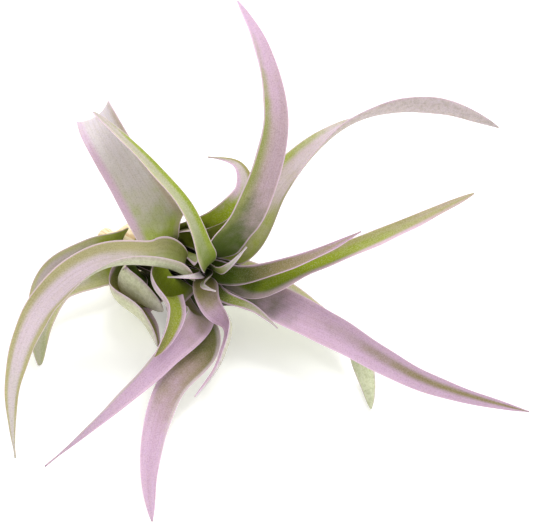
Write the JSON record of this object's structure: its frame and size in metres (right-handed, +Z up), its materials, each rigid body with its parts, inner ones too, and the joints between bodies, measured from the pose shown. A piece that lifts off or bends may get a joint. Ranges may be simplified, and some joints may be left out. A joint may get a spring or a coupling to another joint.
{
  "type": "air plant",
  "caption": "Soft-leaved air plant lying on its side: a rosette of broad, channelled, tapering leaves that arch and curl round a short stem with a dry foot.",
  "frame": {"origin": "middle of the flat spot under the dry foot, where the plant rests", "axes": "+Z up from the surface it rests on; +X along the plant's width, towards the long lower right leaf; the rosette's heart faces +X, -Y and up"},
  "size_m": [0.1794, 0.1707, 0.1124],
  "materials": {
    "heart_leaf": "soft matt leaf, dark yellow-green",
    "lilac_leaf": "soft matt leaf under a fine silvery scurf, lilac over green",
    "olive_leaf": "soft matt leaf under a fine silvery scurf, olive",
    "gray_leaf": "soft matt outer face of a leaf, speckled gray-green",
    "dry_stem": "dry, fibrous, matt tan"
  },
  "bodies": {
    "root": {"heart_leaf_upper": "heart_leaf", "heart_leaf_left": "heart_leaf", "heart_leaf_lower": "heart_leaf", "narrow_leaf": "olive_leaf", "left_arch_leaf": "lilac_leaf", "curled_leaf": "lilac_leaf", "top_leaf": "lilac_leaf", "inner_right_leaf": "lilac_leaf", "small_right_leaf": "olive_leaf", "channel_leaf": "lilac_leaf", "lower_left_leaf": "lilac_leaf", "right_leaf": "olive_leaf", "upper_left_leaf": "olive_leaf", "bottom_leaf": "olive_leaf", "upper_right_leaf": "olive_leaf", "lower_right_leaf": "lilac_leaf", "back_curl_leaf": "olive_leaf", "left_bract": "gray_leaf", "left_low_leaf": "gray_leaf", "right_under_leaf": "gray_leaf", "left_under_leaf": "gray_leaf", "stem": "dry_stem"}
  },
  "joints": []
}
